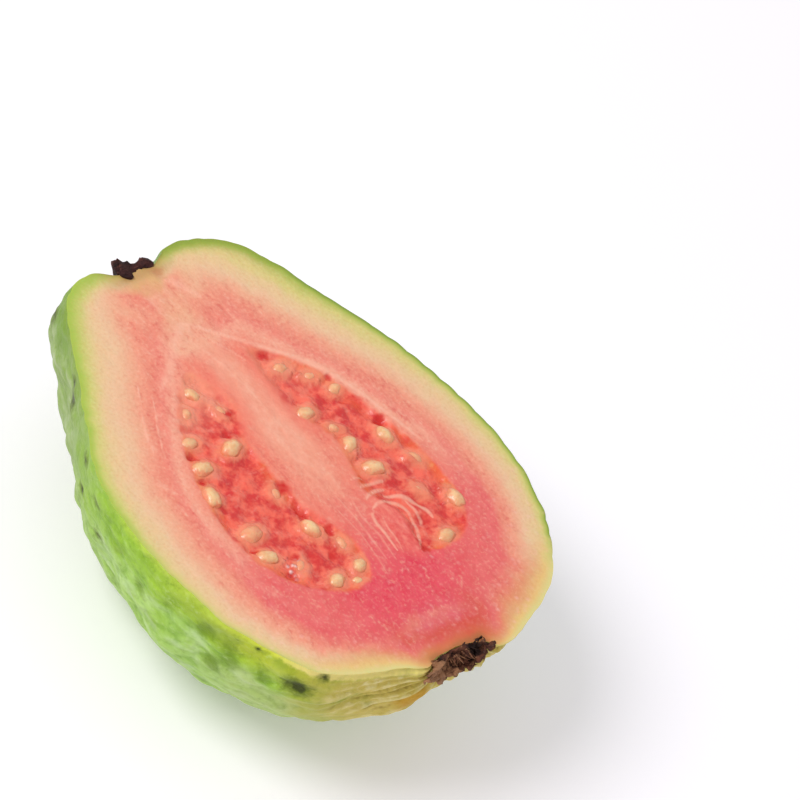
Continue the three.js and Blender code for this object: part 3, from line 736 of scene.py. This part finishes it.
def rind():
    """Waxy green skin, yellower at the cut and khaki at the calyx. Painted shade darkens its hollows, dents
    and furrows, and painted highlights and sheen lighten its lumps, ridges, cut edge and lower flank.
    """
    made, start = new_material("rind")
    place, x, y, z = fruit_millimetres(start)
    drawn_out = place.stretched(0.6, 1, 1)
    broad = place.noise(11)
    blotch = place.noise(3.4)
    dapple = drawn_out.noise(4.4, 1)
    fine = place.noise(0.9, 3, 0.6)
    pale = drawn_out.noise(2.6) * 0.8 + blotch * 0.4
    lumps = start.field("lumps") + fine * 0.012

    # Under the cut lies a yellow-green band, with dark dapples in it, and towards the calyx a bright lip:
    # yellow skin with a painted highlight along the cut edge.
    # Lower down the skin is painted paler, as a sheen of the white room, with olive blotches and whitish
    # streaks of that painted sheen on it.
    lower = (z + broad * 2 + dapple * 3).rise(-6, -11)
    at_cut = (z - x.rise(8, -18) * 2.8 + broad * 0.8 + blotch * 0.6).rise(-7.5, -1.5)
    lip = (z + x.rise(26, 34) * 0.7 + fine * 0.25).rise(-1.1, -0.3) * x.rise(14, 28)
    skin = (broad * 0.5 + blotch * 0.3 + 0.5).rise(0.1, 0.9).blend("#88b226", "#9cc43a").coated(
        # Painted sheen: the lower skin is made paler.
        (lower * 0.7, "#a9cd6a"),
        # Painted shade darkens the hollows between the lumps, and a painted highlight lightens their crests.
        (lumps.rise(0, -0.12) * 0.35, "#5f8f1c"),
        (lumps.rise(0.02, 0.16) * 0.25, "#c0da88"),
        (at_cut * 0.8, x.rise(0, 24).blend("#90b830", "#b4bc30")),
        (dapple.rise(0.05, 0.8) * z.rise(-22, -10) * 0.38, "#6f921c"),
        (blotch.rise(0.1, 0.8) * (1 - at_cut) * 0.35, "#86a136"),
        # Painted sheen: whitish streaks, drawn out along the fruit, over the lower skin.
        (pale.rise(-0.3, 0.9) * (lower * 0.42 + 0.06), "#cadcae"),
        (x.rise(14, 30) * lower * 0.45, "#c4c888"),
        # The lip: yellow skin lightened by a painted highlight along the cut edge.
        (lip * 0.9, x.rise(25, 32).blend("#d3dc3c", "#f2dc88")),
    )

    # Fine flecks mottle all of it. The stem end is scuffed grey, and dark green at its shoulders.
    flecks = fine * 0.7 + drawn_out.noise(1.5) * 0.5
    scuffs = (drawn_out.noise(1.8, 4) + blotch * 0.4 + 0.2).rise(-0.1, 1.1) * x.rise(-14, -32)
    skin = skin.coated(
        (flecks.rise(0.1, 0.9) * (1 - lip) * 0.3, "#c6da94"),
        (flecks.rise(-0.1, -0.9) * (1 - lip) * 0.3, "#6c8c24"),
        ((x + dapple * 4).rise(0, -28) * 0.7, "#86995a"),
        (scuffs * 0.5, "#bcc4a0"),
        ((z + dapple * 2).rise(-8, -2) * x.rise(-29, -36) * 0.55, "#6a8c2c"),
    )

    # Right by the cut it is darker towards the stem, and a painted highlight along the cut edge lightens it
    # along the widest part.
    # The calyx end is olive and then khaki, with one ochre patch. Its pleats' ridges are painted cream as
    # highlight, and their furrows brown as shade.
    by_cut = z + fine * 0.3
    khaki = (x + blotch).rise(32, 37) * (1 - lip * 0.95)
    crease = place.stretched(0.2, 1, 1).noise(1.3)
    pleat = start.field("pleat") * 0.8 + crease * 0.6 + blotch * 0.2
    to_ochre = (x - 39.5).across(y + 5).across(z + 9) + blotch
    skin = skin.coated(
        (by_cut.rise(-2.4, -0.5) * x.rise(-18, -27) * 0.75, "#7a9628"),
        # Painted highlight along the cut edge at the widest part.
        (by_cut.rise(-1.7, -0.3) * x.rise(-10, 2) * x.rise(26, 14) * 0.6, "#bcd050"),
        ((x + blotch).rise(27, 33) * (1 - lip * 0.8) * 0.75, "#b0aa42"),
        (khaki * 0.9, "#cbb55e"),
        # Painted highlight on the pleats' ridges, then painted shade in their furrows.
        (pleat.rise(0, 1) * khaki * 0.7, "#e6daa0"),
        (pleat.rise(-0.1, -0.9) * khaki * 0.7, "#86702a"),
        (to_ochre.rise(4.5, 1.5) * 0.8, "#c08e22"),
    )

    # Dents are painted darker green as the shade in them, and scars are nearly black in the middle.
    dent = start.field("dent") + fine * 0.1 + blotch * 0.2 + dapple * 0.08
    scar = start.field("scar") + fine * 0.25 + blotch * 0.2
    skin = skin.coated(
        # Painted shade: darker green in the dents, most where they are deepest.
        (dent.rise(0, -0.45) * 0.62, "#5c760c"),
        (scar.rise(1.4, 0.5) * 0.7, "#56650e"),
        (scar.rise(0.7, 0.25) * 0.8, "#2c300a"),
    )
    bump = fine * 0.06 + blotch * 0.09 + pale * 0.06 + pleat * khaki * 0.1
    surface(start, {
        "Base Color": skin, "Roughness": 0.48 + blotch * 0.06 + khaki * 0.2, "Normal": bump.relief(),
        "Specular IOR Level": 0.15, "Coat Weight": 0.04, "Coat Roughness": 0.25, "IOR": 1.4,
        "Subsurface Weight": 0.1, "Subsurface Scale": 0.001, "Subsurface Radius": (0.7, 1, 0.25),
    })
    return made


# Scars on the skin, as [x, y, z, radius].
SCARS = [
    (31, -24.5, -4.9, 2.2), (33.2, -22.9, -1, 1), (-8.8, -31.8, -3.8, 1), (-15.3, -29.5, -2.6, 1.2),
    (-25.8, -22.9, -4.2, 2.1), (-27.4, -22.3, -2.4, 1.3), (-41, -14.6, -4.4, 1.5), (-13.9, -29, -8.7, 1),
    (-6.9, -30.5, -11, 1.1), (24.2, -28.8, -1.1, 0.5), (21.1, -30, -1.6, 0.45), (21, 26, -14, 1.6),
    (-20, 21, -15, 1.2), (6, -14, -29, 1.4),
]
# Marks on the rind reach along the fruit, so distances along x count for less.
scar = np.full(first_face_point, float(FAR_OFF))
for x, y, z, radius in SCARS:
    away = np.linalg.norm((rind_shell - (x, y, z)) * (0.75, 1, 1), axis=1)
    scar = np.minimum(scar, away / radius)


def on_rind(values):
    """Values on the rind, with 0 on the cut."""
    return np.concatenate([values, np.zeros(len(points) - first_face_point)])


def on_face(values, on_skin):
    """Values on the cut, with the same one all over the skin."""
    return np.concatenate([np.full(first_face_point, on_skin), values])


guava = piece("guava", points, faces, [rind(), cut_flesh()], {
    "lumps": on_rind(lumps),
    "pleat": on_rind(pleats),
    "dent": on_rind(dents),
    "scar": on_rind(scar),
    "skin_depth": on_face(skin_depth, 0),
    "pulp": on_face(pulp, 0),
    "pulp_depth": on_face(pulp_depth, -FAR_OFF),
    "pit": on_face(pit, 0),
    "seed_gap": on_face(seed_gap, FAR_OFF),
    "vein_gap": on_face(vein_gap, FAR_OFF),
})
guava.data.polygons.foreach_set("material_index", (np.arange(len(faces)) >= rind_faces).astype(np.int32))
ends = np.zeros(2 * len(guava.data.edges), int)
guava.data.edges.foreach_get("vertices", ends)
rim_edge = np.isin(ends.reshape(-1, 2), rim).all(axis=1)
guava.data.attributes.new("sharp_edge", "BOOLEAN", "EDGE").data.foreach_set("value", rim_edge)
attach(guava, "root")
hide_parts("guava_half")

# ------------------------------ the seeds
# Hard cream pips with one blunter end, which grew loose in the pulp. They sit half sunk in it where the knife
# left them, and its juice veils some of them.

SEED_HEIGHT = 2.3
SEED_STANDS = 0.1  # how far a seed's middle stands above the pulp
VEILED_SINK = 0.4  # how much deeper it lies where juice veils it altogether
SEED_ALONG = 14  # steps of its grid from tip to tip
SEED_ROUND = 20  # and round it


def body_angles(steps_along, steps_round):
    """The angles of a rounded body's points from tip to tip, without the tips, and round it."""
    along = np.linspace(0, math.pi, steps_along + 1)[1:-1, None]
    return along, np.linspace(0, 2 * math.pi, steps_round, endpoint=False)[None]


def body_faces(count, steps_round):
    """Faces of a closed body whose first and last points are its tips, with rounds of points between."""
    grid = 1 + np.arange(count - 2).reshape(-1, steps_round)
    return tube(grid) + fan(grid[0], 0) + fan(grid[-1][::-1], count - 1)


def seed(x, y, turn, size, veil, dice):
    """One seed: its points, its faces, each point's height from 0 at its middle to 1, and its veil."""
    phi, theta = body_angles(SEED_ALONG, SEED_ROUND)
    narrow = 1 + dice.uniform(0.1, 0.25) * np.cos(phi)
    along = -np.cos(phi) + 0 * theta
    across = np.sin(phi) ** 0.9 * narrow * np.cos(theta)
    over = np.sin(phi) ** 0.9 * narrow * np.sin(theta)
    body = np.stack([along, across, over], axis=2).reshape(-1, 3)
    body = np.concatenate([[(-1, 0, 0)], body, [(1, 0, 0)]])
    body = body * (1 + 0.03 * waves(body, 0.7, 1.6)[:, None] / 2)
    body = body * np.array([SEED_LENGTH, SEED_WIDTH, SEED_HEIGHT]) * size / 2
    turned = Matrix.Rotation(math.radians(turn), 3, "Z")
    tilted = Matrix.Rotation(dice.uniform(-0.22, 0.22), 3, "Y")
    body = body @ np.array(turned @ tilted).T
    height = body[:, 2] * 2 / (SEED_HEIGHT * size)
    places = body + (x, y, -PULP_SINK + SEED_STANDS - VEILED_SINK * veil)
    return places, body_faces(len(body), SEED_ROUND), height, np.full(len(body), veil)


def joined(parts):
    """Parts of one piece as one: their points, their faces, and each list of values at the points."""
    points, faces, *values = zip(*parts)
    starts = np.cumsum([0] + [len(places) for places in points])
    faces = [[i + start for i in face] for some, start in zip(faces, starts) for face in some]
    return np.concatenate(points), faces, *(np.concatenate(kind) for kind in values)


def seed_coat():
    """Cream and glossy, stained by the pulp where it meets it."""
    made, start = new_material("seed_coat")
    place, _, _, _ = fruit_millimetres(start)
    blotch = place.noise(1.3)
    fine = place.noise(0.4)
    height = start.field("height") + blotch * 0.3 + fine * 0.12
    veil = (start.field("veil") + blotch * 0.3).rise(0, 1.1)
    coat = (blotch * 0.5 + 0.5).rise(0, 1).blend("#f2d09c", "#e4ab78").coated(
        (height.rise(1, 0.4), "#ea8a62"),
        (veil * 0.85, "#f0926c"),
    )
    surface(start, {
        "Base Color": coat, "Roughness": 0.35, "Normal": (fine * 0.03 + blotch * 0.03).relief(),
        "Coat Weight": 0.4, "Coat Roughness": 0.15,
        "Subsurface Weight": 0.3, "Subsurface Scale": 0.0008, "Subsurface Radius": (1, 0.6, 0.35),
    })
    return made


dice = np.random.default_rng(7)
seed_points, seed_faces, seed_heights, seed_veils = joined([seed(*shape, dice) for shape in SEEDS])
seed_fields = {"height": seed_heights, "veil": seed_veils}
seeds = piece("seeds", seed_points, seed_faces, [seed_coat()], seed_fields)
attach(seeds, "root")

# ------------------------------ the dried stem stub
# What is left of the stalk, grown fast to the fruit: a small woody cup with a torn rim, dried nearly black.
# The knife halved it too, and dragged a torn flap of it over the near side of the cut.

STUB = {
    "radius": 3.5, "height": 2.7, "wall": 2, "floor": 2.2, "arch": 0.6, "seat": -39.5, "outwards": -1,
    "lean": 0.27, "ragged": 0.03,
}
STUB_RAISED = 0.25  # how far it stands up past the cut
STUB_MOUTH = (-43, 0.4)
STUB_CRUMPLE = (0.07, 1.9, 3.6)  # how far it is pushed about, by waves of these lengths
FLAP = {"y": -2.5, "reach": 1.6, "push": (0.8, 0, 0.35)}
CUP_STEPS = 15  # steps up the outside of a cup's wall, and as many down its inside
CUP_ROUND = 60


def crumpled(places, amount, shortest, longest):
    """The places pushed about by waves, differently along each axis."""
    pushes = [waves(places + shift, shortest, longest) for shift in (0, 17, 41)]
    return places + amount * np.stack(pushes, axis=1)


def half_cup(radius, height, wall, floor, arch, seat, outwards, lean, ragged):
    """Half a dried cup whose mouth faces along x: its points, its faces, and how near its rim each point is.
    Its foot may arch up in the middle, and its near wall is higher than its far wall where it leans."""
    top = (radius - wall / 2, height)
    bore = radius - wall
    outer = [(0, arch), (radius - wall * 0.8, 0), (radius, height / 4), (radius * 0.97, height * 0.85), top]
    inner = [(0, floor), (radius - wall * 1.3, floor), (bore, floor * 1.3), (bore, height * 0.8), top]
    steps = np.linspace(0, len(outer) - 1, CUP_STEPS + 1)
    outside, inside = (
        np.stack([np.interp(steps, range(len(side)), column) for column in zip(*side)], axis=1)
        for side in (outer, inner)
    )
    profile = np.concatenate([outside, inside[-2::-1]])
    turn = np.linspace(0, math.pi, CUP_ROUND + 1)[:, None]
    wave = ragged * (0.57 * np.cos(7 * turn) + 0.43 * np.cos(17 * turn + 2))
    rise = profile[None, :, 1] * (1 - lean * np.cos(turn)) + wave * np.maximum(0, profile[None, :, 1] - floor)
    spread = profile[None, :, 0] * (1 + 0.3 * wave * profile[None, :, 1] / height)
    body = np.stack([seat + outwards * rise, spread * np.cos(turn), -spread * np.sin(turn)], axis=2)
    places, grid, faces = shell(body)
    near_rim = np.concatenate([[0, 0], np.tile(profile[1:-1, 1] / height, CUP_ROUND + 1)])
    for line, turned in ((grid[0], 1), (grid[-1], -1)):
        up, down = line[:CUP_STEPS], line[:CUP_STEPS:-1]
        cap = quads(down, up) + [[down[-1], line[CUP_STEPS], up[-1]]]
        faces += [face[::turned] for face in cap]
    return places, [face[::outwards] for face in faces], near_rim


def dried(name, dark, middle, light, mouth):
    """Dried plant skin: dark and dull, lighter along its torn edges and fibres, and on the calyx painted
    lighter on its near side. Its fine creases are painted nearly black as shade.
    It is also painted nearly black round the cup's mouth, which is at this x and y, as the shade inside the
    cup."""
    made, start = new_material(name)
    place, x, y, _ = fruit_millimetres(start)
    blotch = place.noise(1.6, 3)
    fibres = place.stretched(1, 0.35, 0.6).noise(0.5, 3, 0.6)
    edge = start.field("edge") + fibres * 0.25 + blotch * 0.2
    to_mouth = (x - mouth[0]).across(y - mouth[1]) + fibres * 0.5
    skin = (blotch * 0.5 + 0.5).rise(0.1, 0.9).blend(dark, middle).coated(
        (fibres.rise(0.15, 0.8) * 0.45, light),
        (edge.rise(0.6, 1.3) * 0.7, light),
        # Painted shade: nearly black in the fibres' creases.
        ((fibres * 0.5 + blotch * 0.4).rise(-0.15, -0.7) * 0.85, "#150908"),
        # Painted shade: nearly black inside the cup's mouth.
        (to_mouth.rise(2, 0.8) * 0.85, "#140806"),
    )
    bump = fibres * 0.14 + place.noise(0.25) * 0.04
    surface(start, {
        "Base Color": skin, "Roughness": 0.72 + fibres * 0.06, "Normal": bump.relief(),
        "Specular IOR Level": 0.25,
    })
    return made


stub_points, stub_faces, stub_edge = half_cup(**STUB)
in_flap = np.exp(-((stub_points[:, 1] - FLAP["y"]) / FLAP["reach"]) ** 2) * (1 - stub_edge)
stub_points = stub_points + in_flap[:, None] * FLAP["push"]
stub_points = crumpled(stub_points + (0, 0, STUB_RAISED), *STUB_CRUMPLE)
stub_skin = dried("dried_stem", "#2a1216", "#43201e", "#6e4034", STUB_MOUTH)
stem_stub = piece("dried_stem", stub_points, stub_faces, [stub_skin], {"edge": stub_edge})
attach(stem_stub, "root")
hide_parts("stem_stub")

# ------------------------------ the dried calyx
# The flower's remains, grown fast in the basin at the other end: a crumpled cup, the sepals that dried on its
# rim, and the threads of its stamens. All of it is thin, brown and brittle.

CALYX = {
    "radius": 5.5, "height": 1.7, "wall": 1.9, "floor": 0.8, "arch": 0, "seat": 38.5, "outwards": 1,
    "lean": 0, "ragged": 0.14,
}
CALYX_MOUTH = (39.8, 3)
CALYX_CRUMPLE = (0.09, 1, 2.8)
CALYX_FLATTENED = 0.58  # the whole of it is pressed up towards the cut
CALYX_TOP = 0.9  # and nothing of it stands higher than this above the cut
# The sepals, as [angle round the fruit from the far side, length, width, lean outwards, further curl].
SEPALS = [
    (3.05, 3.4, 1.4, 1.2, 0.5), (2.75, 4.2, 2, 1, 0.7), (2.35, 3, 2, 0.6, 1),
    (1.95, 2.6, 2.2, 0.2, -1.6), (1.55, 2.8, 2, 0.7, 0.9), (1.15, 2.4, 2.2, 0.2, -1.5),
    (0.75, 2.8, 2.2, 0.7, 0.8), (0.4, 2.4, 1.8, 0.1, -1.5), (0.1, 2.6, 1.6, 0.7, 0.8),
]
SEPAL_FOOT = {"height": 1.2, "radius": 4.3}  # where they grow from the cup's wall
SEPAL_HALF_THICKNESS = 0.4
SEPAL_CRUMPLE = (0.08, 0.9, 2.4)
SEPAL_ALONG = 22  # steps of a sepal's grid from foot to tip
SEPAL_ROUND = 24  # and round it
THREADS = 70
THREAD_FOOT = 0.9  # how high they grow in the cup
THREADS_SPREAD = (0.5, 4.6)  # and how far out from its middle, at least and at most
THREAD_LENGTH = (0.8, 2)
THREAD_THICKNESS = (0.1, 0.2)
THREAD_BEND = 0.25
# One stands up from the cut, as [foot, heading, length, thickness].
STANDING_THREAD = ((39.6, 3, -0.6), (-0.35, 0.1, 0.93), 1.7, 0.35)
THREAD_POINTS = 8  # places along a thread
THREAD_ROUND = 6  # and points round each


def sepal(angle, length, width, lean, curl):
    """A dried sepal: a thin curled tongue that grows from the cup's rim."""
    phi, theta = body_angles(SEPAL_ALONG, SEPAL_ROUND)
    along = (1 - np.cos(phi)) / 2 + 0 * theta
    across = np.sin(phi) ** 0.7 * np.cos(theta) * (1.1 - 0.5 * along)
    thick = np.sin(phi) ** 0.5 * np.sin(theta)
    body = np.stack([along, across, thick], axis=2).reshape(-1, 3)
    body = np.concatenate([[(0, 0, 0)], body, [(1, 0, 0)]])
    bend = lean + curl * body[:, 0]
    thick = SEPAL_HALF_THICKNESS * body[:, 2]
    x = length * (np.sin(bend) - math.sin(lean)) / curl - thick * np.sin(bend)
    x = CALYX["seat"] + SEPAL_FOOT["height"] + x
    out = SEPAL_FOOT["radius"] + length * (math.cos(lean) - np.cos(bend)) / curl + thick * np.cos(bend)
    side = width * body[:, 1]
    y = out * math.cos(angle) + side * math.sin(angle)
    z = side * math.cos(angle) - out * math.sin(angle)
    faces = [face[::-1] for face in body_faces(len(body), SEPAL_ROUND)]
    # Sepals towards the near side are painted lighter, as the side that the lamp lights.
    edge = 0.3 + 0.6 * body[:, 0] ** 2 + 0.25 * max(0, angle - 1.5)
    return crumpled(np.stack([x, y, z], axis=1), *SEPAL_CRUMPLE), faces, edge


def thread(start, heading, length, thickness, dice):
    """One dried stamen: a thin tapered thread with a bend in it."""
    t = np.linspace(0, 1, THREAD_POINTS)[:, None]
    sideways = np.cross(heading, dice.normal(size=3))
    route = start + heading * length * t + sideways * length * THREAD_BEND * t * t
    theta = np.linspace(0, 2 * math.pi, THREAD_ROUND, endpoint=False)[:, None]
    u = np.cross(heading, (0.3, 0.5, 0.8))
    u = u / np.linalg.norm(u)
    v = np.cross(heading, u)
    radius = thickness * (1 - 0.6 * t)
    places = (route[:, None] + radius[:, None] * (np.cos(theta) * u + np.sin(theta) * v)).reshape(-1, 3)
    grid = np.arange(len(places)).reshape(-1, THREAD_ROUND)
    faces = tube(grid) + [grid[0][::-1].tolist(), grid[-1].tolist()]
    return places, faces, np.full(len(places), dice.uniform(0.4, 1.1))


cup_points, cup_faces, cup_edge = half_cup(**CALYX)
calyx_parts = [(crumpled(cup_points, *CALYX_CRUMPLE), cup_faces, cup_edge)]
calyx_parts += [sepal(*shape) for shape in SEPALS]
dice = np.random.default_rng(11)
for _ in range(THREADS):
    around, out = dice.uniform(0.05, math.pi - 0.05), dice.uniform(*THREADS_SPREAD)
    foot = np.array([CALYX["seat"] + THREAD_FOOT, out * math.cos(around), -out * math.sin(around)])
    spread = [0.22 * foot[k] * dice.uniform(-0.5, 1.2) for k in (1, 2)]
    heading = np.array([1, *spread])
    heading = heading / np.linalg.norm(heading)
    length, thickness = dice.uniform(*THREAD_LENGTH), dice.uniform(*THREAD_THICKNESS)
    calyx_parts.append(thread(foot, heading, length, thickness, dice))
foot, heading, length, thickness = STANDING_THREAD
calyx_parts.append(thread(np.array(foot), np.array(heading), length, thickness, dice))
calyx_points, calyx_faces, calyx_edge_and_lit_side = joined(calyx_parts)
# Painted light: the near side, which faces the lamp, is made lighter.
calyx_edge_and_lit_side = calyx_edge_and_lit_side - 0.13 * calyx_points[:, 1]  # lighter on the near side
calyx_points[:, 2] = np.minimum(calyx_points[:, 2] * CALYX_FLATTENED, CALYX_TOP)
calyx_skin = dried("dried_calyx", "#441f18", "#6e3e2a", "#ae7e5a", CALYX_MOUTH)
calyx = piece("dried_calyx", calyx_points, calyx_faces, [calyx_skin], {"edge": calyx_edge_and_lit_side})
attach(calyx, "root")
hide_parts("calyx_crown")
